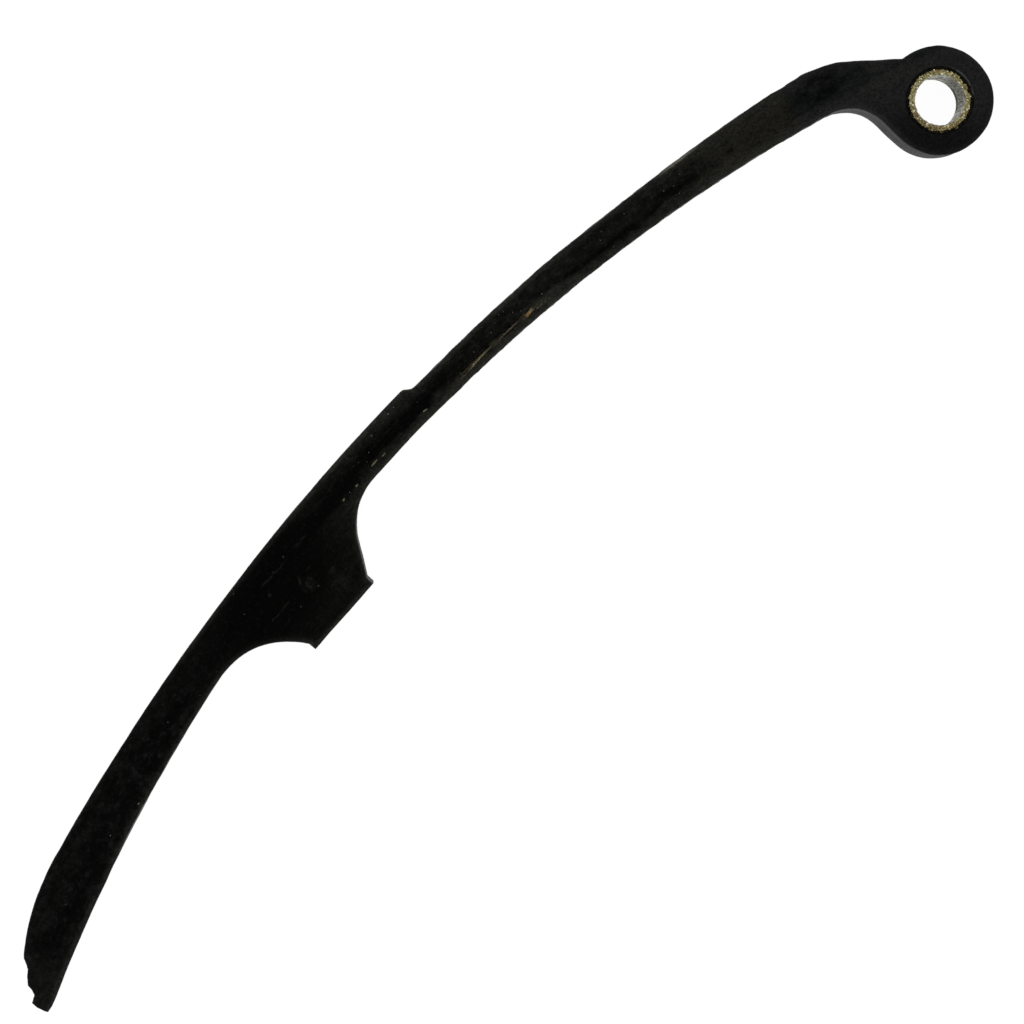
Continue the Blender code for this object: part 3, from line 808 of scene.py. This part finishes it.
# %% Flecks of metal pressed into the rubber
FLECKS = [
    (-1.7, 1.40, 0.9, 0.24),
    (-13.1, 1.56, 1.5, 0.26),
    (-11.2, 1.36, 0.9, 0.22),
    (-17.6, 1.23, 0.6, 0.32),
    (-20.6, 1.32, 0.5, 0.30),
    (22.1, 1.14, 0.40, 0.20),
    (22.9, 1.22, 0.38, 0.22),
    (23.6, 1.12, 0.25, 0.16),
    (23.2, 1.66, 0.25, 0.15),
    (24.4, 1.14, 0.22, 0.15),
    (-78.1, 0.80, 0.4, 0.18),
]
lumps = []
for run_at, rise_at, length, width in FLECKS:
    turn = -run_at * MM / BACK_RADIUS + chance.uniform(-0.2, 0.2)
    lumps.append(lump(along_arm(run_at, rise_at, TOP - 0.11 * MM), (length, width, 0.14), turn, 0.3))
flecks = joined(lumps, "metal_flecks")
print("flecks:", len(lumps))

# %% Finish of the rubbed edge and the flecks
material, tree, shader = new_material("rubbed_gold_toned_steel")
place = arm_coordinates(tree)
run, rise, height = put(tree, "SeparateXYZ", {0: place}).outputs
grit = noise(tree, place, (2.2, 5.0, 5.0), detail=4.0, roughness=0.7)
colour = mix(tree, band(tree, grit, 0.35, 0.5), paint(60, 54, 38), paint(104, 97, 70))
# Painted glints: the brightest grains of the rubbed metal are near white.
colour = mix(tree, band(tree, grit, 0.58, 0.7), colour, paint(176, 167, 132))
# Painted glint: the first line is brightest at one spot and duller towards its ends.
from_glint = maths(tree, "ABSOLUTE", maths(tree, "SUBTRACT", run, 9.6))
beyond_glint = times(tree, band(tree, from_glint, 0.8, 2.4), band(tree, run, 5.0, 5.6), band(tree, run, 13.5, 13.2))
colour = mix(tree, times(tree, beyond_glint, 0.7), colour, paint(50, 46, 38))
whitish = times(tree, band(tree, run, 13.4, 13.7), band(tree, run, 19.4, 19.0))
colour = mix(tree, times(tree, whitish, 0.85), colour, paint(64, 59, 54))
amber = times(tree, band(tree, run, 19.7, 20.0), band(tree, run, 20.9, 20.4))
colour = mix(tree, times(tree, amber, 0.6), colour, paint(134, 96, 46))
brown = times(tree, band(tree, run, 6.0, 6.4), band(tree, run, 8.2, 7.0))
colour = mix(tree, times(tree, brown, 0.6), colour, paint(78, 58, 40))
pale = times(tree, band(tree, run, 21.6, 21.9), band(tree, run, 26.0, 25.0))
colour = mix(tree, times(tree, pale, 0.8), colour, paint(76, 76, 64))
bright = 0.0
for run_from, rise_from, run_to, rise_to, width, spread in SHINE:
    line = scratch(tree, place, (run_from - 0.6, rise_from), (run_to + 0.6, rise_to), width * 0.75)
    bright = maths(tree, "ADD", bright, line, clamp=True)
in_slit = times(tree, band(tree, run, 5.0, 5.6), band(tree, run, 21.7, 21.6))
unlit = times(tree, maths(tree, "SUBTRACT", 1.0, bright), in_slit)
colour = mix(tree, times(tree, unlit, 0.9), colour, paint(24, 22, 17))
smear = noise(tree, place, (0.9, 4.0, 4.0), detail=4.0, roughness=0.7, shift=13.0)
colour = mix(tree, times(tree, band(tree, smear, 0.5, 0.62), 0.7), colour, paint(36, 33, 26))
tree.links.new(colour, shader.inputs["Base Color"])
shader.inputs["Metallic"].default_value = 0.12
shader.inputs["Roughness"].default_value = 0.5
shader.inputs["Specular IOR Level"].default_value = 0.1
for piece in (leaf_edge, flecks):
    piece.data.materials.append(material)
print("nodes in the rubbed finish:", len(tree.nodes))

# %% [markdown]
# The bush is a piece of steel tube, so we turn it: its wall's outline is drawn once as a
# plane, its corners are bevelled, and a spin carries it round the pivot's axis. The ends
# need small cells because corrosion has left them granular, and the walls need few.

# %% Turn the bush
BUSH_WALL = BUSH_RADIUS - BORE_RADIUS
BUSH_STEPS = 384
middle = PIVOT + Vector((BORE_RADIUS + BUSH_WALL / 2, 0.0, (bush_low.z + bush_high.z) / 2))
bpy.ops.mesh.primitive_plane_add(size=1.0, location=middle, rotation=(math.pi / 2, 0.0, 0.0))
bush = bpy.context.object
bush.name = "worn_bush"
bush.scale = (BUSH_WALL, bush_high.z - bush_low.z, 1.0)
bpy.ops.object.transform_apply(location=True, rotation=True, scale=True)
bpy.ops.object.mode_set(mode="EDIT")
bpy.ops.mesh.select_all(action="SELECT")
bpy.ops.mesh.bevel(offset=0.06 * MM, segments=2, affect="VERTICES")
bpy.ops.mesh.select_all(action="SELECT")
bpy.ops.mesh.delete(type="ONLY_FACE")


def edge_span(edge):
    ends = [bush.data.vertices[i].co for i in edge.vertices]
    return abs(ends[0].x - ends[1].x), abs(ends[0].z - ends[1].z)


pick(bush, "EDGE", lambda edge: edge_span(edge)[0] > 0.5 * MM)
bpy.ops.mesh.subdivide(number_cuts=10)
pick(bush, "EDGE", lambda edge: edge_span(edge)[1] > 2.0 * MM)
bpy.ops.mesh.subdivide(number_cuts=35)
bpy.ops.mesh.select_all(action="SELECT")
bpy.ops.mesh.spin(steps=BUSH_STEPS, angle=math.tau, center=PIVOT, axis=(0.0, 0.0, 1.0))
bpy.ops.mesh.select_all(action="SELECT")
bpy.ops.mesh.remove_doubles(threshold=0.000001)
bpy.ops.mesh.normals_make_consistent(inside=False)
bpy.ops.object.mode_set(mode="OBJECT")
print("bush faces:", len(bush.data.polygons))

# %% [markdown]
# On one side the rim of the bush has broken away down to a thin edge, with a tooth left
# between two bites. Rough balls bite it out: each is a boolean difference, placed by its
# angle round the pivot and its distance from the axis.

# %% Bite the chips out of the rim
BITES = [
    (2.0, 5.85, 1.40),
    (-7.0, 5.28, 1.00),
    (14.0, 5.80, 1.10),
    (-27.5, 5.18, 0.85),
    (-17.5, 5.75, 0.95),
    (-65.0, 5.42, 0.66),
    (150.0, 5.45, 0.45),
]


def bite(piece, spot, size):
    """Cut a rough ball out of a piece."""
    bpy.ops.mesh.primitive_ico_sphere_add(subdivisions=4, radius=size, location=spot)
    ball = bpy.context.object
    bpy.ops.object.transform_apply(location=True, rotation=True, scale=True)
    displace(ball, "rough_bite", size / MM * 0.45, size / MM * 0.35)
    only(piece)
    cut = piece.modifiers.new("bite", "BOOLEAN")
    cut.operation = "DIFFERENCE"
    cut.solver = "EXACT"
    cut.object = ball
    bpy.ops.object.modifier_apply(modifier=cut.name)
    bpy.data.objects.remove(ball)


for bearing, reach, size in BITES:
    turn = math.radians(bearing)
    offset = Vector((math.cos(turn), math.sin(turn), 0.0)) * reach * MM
    bite(bush, PIVOT + offset + Vector((0.0, 0.0, bush_high.z)), size * MM)
print("bush faces after the bites:", len(bush.data.polygons))

# %% [markdown]
# The ends are a crust of grains about a quarter of a millimetre across. Two displace
# modifiers raise it, limited to the ends and kept off the bore, which the pivot bolt
# has worn smooth.

# %% Grains on the ends of the bush
def crusted(co, normal):
    from_axis = (co - PIVOT).xy.length / MM
    from_end = min(bush_high.z - co.z, co.z - bush_low.z) / MM
    return ramp(from_end, 1.8, 0.6) * ramp(from_axis, 4.0, 4.3)


def bulged(co, normal):
    """Two stretches of the rim where the crust stands out a little further."""
    around = co - PIVOT
    bearing = math.degrees(math.atan2(around.y, around.x))
    one = ramp(abs(bearing - 35.0), 32.0, 14.0)
    two = ramp(abs(bearing + 108.0), 40.0, 16.0)
    outer = ramp(around.xy.length / MM, 4.6, 4.9) * ramp((bush_high.z - co.z) / MM, 0.6, 0.3)
    return max(0.6 * one, two) * outer * ramp(abs(normal.z), 1.0, 0.6)


def burred(co, normal):
    """The inner edge of the upper end, where the crust creeps over the bore."""
    near = ramp((co - PIVOT).xy.length / MM, 4.2, 4.05)
    return near * ramp((bush_high.z - co.z) / MM, 0.4, 0.15) * ramp(abs(normal.z), 1.0, 0.6)


displace(bush, "bulge", 1.4, 0.36, middle=0.0, group=weigh(bush, "bulged", bulged))
displace(bush, "burr", 0.6, 0.24, middle=0.0, group=weigh(bush, "burred", burred))
crust = weigh(bush, "crusted", crusted)
displace(bush, "coarse_grains", 0.30, 0.44, middle=0.42, group=crust)
displace(bush, "fine_grains", 0.15, 0.26, middle=0.52, group=crust)
bpy.ops.object.shade_smooth_by_angle(angle=math.radians(50.0))
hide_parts("pivot_bush")
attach(bush, "root")
print("bush triangles:", sum(len(face.vertices) - 2 for face in bush.data.polygons))

# %% [markdown]
# The rubber was moulded onto the bush, so no daylight shows between them. All that shows
# of that bond is a torn collar just below each end of the bush, dark with old oil. Two
# small outlines, one above the other, are spun together into the two collars, and a
# displace modifier tears their ends.

# %% The bonded rubber round the bush
BOND_LOW = 0.66 * MM
BOND_HEIGHT = 0.22 * MM
BOND_TEAR = (0.5, 0.42)
inner = BUSH_RADIUS - 0.1 * MM
outer = HOLE_RADIUS + 0.02 * MM
middle = PIVOT + Vector(((inner + outer) / 2, 0.0, TOP - BOND_LOW + BOND_HEIGHT / 2))
bpy.ops.mesh.primitive_plane_add(size=1.0, location=middle, rotation=(math.pi / 2, 0.0, 0.0))
bond = bpy.context.object
bond.name = "bonded_rubber"
bond.scale = (outer - inner, BOND_HEIGHT, 1.0)
bpy.ops.object.transform_apply(location=True, rotation=True, scale=True)
bpy.ops.object.mode_set(mode="EDIT")
bpy.ops.mesh.select_all(action="SELECT")
bpy.ops.mesh.delete(type="ONLY_FACE")
bpy.ops.mesh.select_all(action="SELECT")
bpy.ops.mesh.subdivide(number_cuts=3)
bpy.ops.mesh.duplicate()
bpy.ops.transform.translate(value=(0.0, 0.0, 2 * BOND_LOW - BOND_HEIGHT - TOP))
bpy.ops.mesh.select_all(action="SELECT")
bpy.ops.mesh.spin(steps=256, angle=math.tau, center=PIVOT, axis=(0.0, 0.0, 1.0))
bpy.ops.mesh.select_all(action="SELECT")
bpy.ops.mesh.remove_doubles(threshold=0.000001)
bpy.ops.mesh.normals_make_consistent(inside=False)
bpy.ops.object.mode_set(mode="OBJECT")


def faces_out(co, normal):
    """The upper side of the upper collar and the lower side of the lower one."""
    return ramp(normal.z if co.z > TOP / 2 else -normal.z, 0.5, 0.8)


displace(bond, "torn_bond", *BOND_TEAR, middle=0.0, group=weigh(bond, "ends", faces_out))
bpy.ops.object.shade_smooth_by_angle(angle=math.radians(50.0))
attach(bond, "root")
heights = [vertex.co.z / MM for vertex in bond.data.vertices]
print("bonded rubber from", round(min(heights), 2), "to", round(max(heights), 2), "mm")

# %% Finish of the bonded rubber
material, tree, shader = new_material("oily_bonded_rubber")
spot = put(tree, "TexCoord").outputs["Object"]
spot = vector_maths(tree, "MULTIPLY", spot, (1000.0,) * 3)
crumb = noise(tree, spot, (2.5, 2.5, 2.5), detail=6.0, roughness=0.7)
colour = mix(tree, band(tree, crumb, 0.38, 0.66), paint(3, 3, 3), paint(30, 27, 18))
tree.links.new(colour, shader.inputs["Base Color"])
shader.inputs["Roughness"].default_value = 0.7
shader.inputs["Specular IOR Level"].default_value = 0.02
bump = put(tree, "Bump", {"Height": crumb, "Strength": 0.6, "Distance": 0.0001})
tree.links.new(bump.outputs[0], shader.inputs["Normal"])
bond.data.materials.append(material)
print("nodes in the finish of the bonded rubber:", len(tree.nodes))

# %% [markdown]
# The crust is brass-toned and every grain has its own tone, a few of them bright. A
# Voronoi pattern gives each grain its random value. The bore is plain grey steel with
# long marks along the axis and darker rubbed lines near the broken rim.

# %% Bush finish
material, tree, shader = new_material("crusted_steel")
spot = put(tree, "TexCoord").outputs["Object"]
spot = vector_maths(tree, "MULTIPLY", spot, (1000.0,) * 3)
from_axis, angle, level = eye_coordinates(tree)
grains = put(tree, "TexVoronoi", {"Vector": spot, "Scale": 4.2, "Randomness": 1.0})
value = put(tree, "SeparateXYZ", {0: grains.outputs["Color"]}).outputs[0]
stain = noise(tree, spot, (0.7, 0.7, 0.7), detail=4.0)
crust = mix(tree, value, paint(120, 113, 76), paint(186, 177, 130))
hollow_end = maths(tree, "COSINE", times(tree, maths(tree, "ADD", angle, 172.0), math.radians(1.0)))
crust = mix(tree, times(tree, band(tree, stain, 0.5, 0.7), 0.45), crust, paint(124, 96, 56))
browned = times(tree, band(tree, hollow_end, 0.55, 0.9), 0.5)
crust = mix(tree, browned, crust, paint(112, 90, 62))
crust = mix(tree, band(tree, value, 0.87, 0.95), crust, paint(240, 234, 200))
crust = mix(tree, times(tree, band(tree, grains.outputs["Distance"], 0.35, 0.7), 0.5), crust, paint(64, 54, 30))

around = put(tree, "CombineXYZ", {0: times(tree, angle, 0.07), 1: level, 2: 0.0}).outputs[0]
marks = noise(tree, around, (3.0, 0.25, 1.0), detail=6.0, roughness=0.7)
rubbed = noise(tree, around, (4.0, 1.6, 1.0), detail=5.0, roughness=0.7, shift=9.0)
steel = mix(tree, band(tree, marks, 0.38, 0.62), paint(100, 99, 90), paint(196, 196, 182))
broken = times(tree, band(tree, angle, -60.0, -35.0), band(tree, angle, 30.0, 5.0), band(tree, level, 4.0, 9.0))
steel = mix(tree, times(tree, broken, band(tree, rubbed, 0.38, 0.54), 0.85), steel, paint(60, 56, 48))
# Painted shadow: a dark band at the bottom of the bore on its far side, which also dulls its metal there.
far_rim_shadow = times(tree, band(tree, level, 3.0, 2.0), band(tree, angle, -75.0, -50.0), band(tree, angle, 5.0, -10.0))
steel = mix(tree, far_rim_shadow, steel, paint(36, 34, 30))
bore = band(tree, from_axis, 4.03, 4.01)
tree.links.new(mix(tree, bore, crust, steel), shader.inputs["Base Color"])
bare = maths(tree, "ADD", times(tree, band(tree, marks, 0.38, 0.62), 0.56), 0.2)
dark_side = times(tree, band(tree, angle, -66.0, -44.0), band(tree, angle, 26.0, 0.0))
bare = times(tree, bare, maths(tree, "SUBTRACT", 1.0, times(tree, dark_side, 0.5)))
bright_side = band(tree, angle, -58.0, -72.0)
bare = maths(tree, "ADD", bare, times(tree, bright_side, 0.2))
bare = times(tree, bare, maths(tree, "SUBTRACT", 1.0, times(tree, broken, band(tree, rubbed, 0.38, 0.56), 0.8)))
bare = times(tree, bare, maths(tree, "SUBTRACT", 1.0, times(tree, far_rim_shadow, 1.0)))
metal = put(tree, "Mix", {"Factor": bore, 2: 0.3, 3: bare}).outputs[0]
tree.links.new(metal, shader.inputs["Metallic"])
shader.inputs["Specular IOR Level"].default_value = 0.02
rough = put(tree, "MapRange", {"Value": value, "To Min": 0.32, "To Max": 0.6}).outputs["Result"]
rough = maths(tree, "MAXIMUM", rough, times(tree, bore, 0.45))
tree.links.new(rough, shader.inputs["Roughness"])
bush.data.materials.append(material)
print("nodes in the bush finish:", len(tree.nodes))

# %% [markdown]
# Pale grains of grit lie on the rubber, most of them where the arm meets the pad. They
# are tiny lumps too, half sunk in the skin. Those that the photograph shows have their
# places, and a few more are scattered over the arm by seeded chance.

# %% Grit
GRIT = [
    (25.39, 14.35), (23.60, 15.72), (22.28, 15.24), (20.35, 16.13), (16.71, 14.34),
    (-3.91, 16.46), (0.33, 16.99), (1.65, 17.13), (-9.16, 16.75), (-9.26, 15.06),
    (-8.37, 14.93), (-12.83, 16.29), (-6.12, 14.90), (-14.52, 14.86), (-12.67, 12.60),
]
places = [Vector((x * MM, y * MM, 0.0)) for x, y in GRIT]
places += [along_arm(chance.uniform(-62.0, 66.0), chance.uniform(1.0, 5.2)) for step in range(12)]
places += [along_arm(-84.6, 2.4), along_arm(-97.3, 4.0)]
lumps = []
for spot in places:
    spot.z = TOP - 0.10 * MM
    across = chance.uniform(0.10, 0.21)
    size = (across, across * chance.uniform(0.6, 1.0), 0.14)
    lumps.append(lump(spot, size, chance.uniform(0.0, math.pi), 0.25))
grit = joined(lumps, "grit")
material, tree, shader = new_material("pale_grit")
place = arm_coordinates(tree)
tone = noise(tree, place, (1.7, 1.7, 1.7), detail=2.0)
colour = mix(tree, band(tree, tone, 0.35, 0.65), paint(44, 44, 40), paint(98, 98, 92))
tree.links.new(colour, shader.inputs["Base Color"])
shader.inputs["Roughness"].default_value = 0.6
grit.data.materials.append(material)
print("grains of grit:", len(lumps))
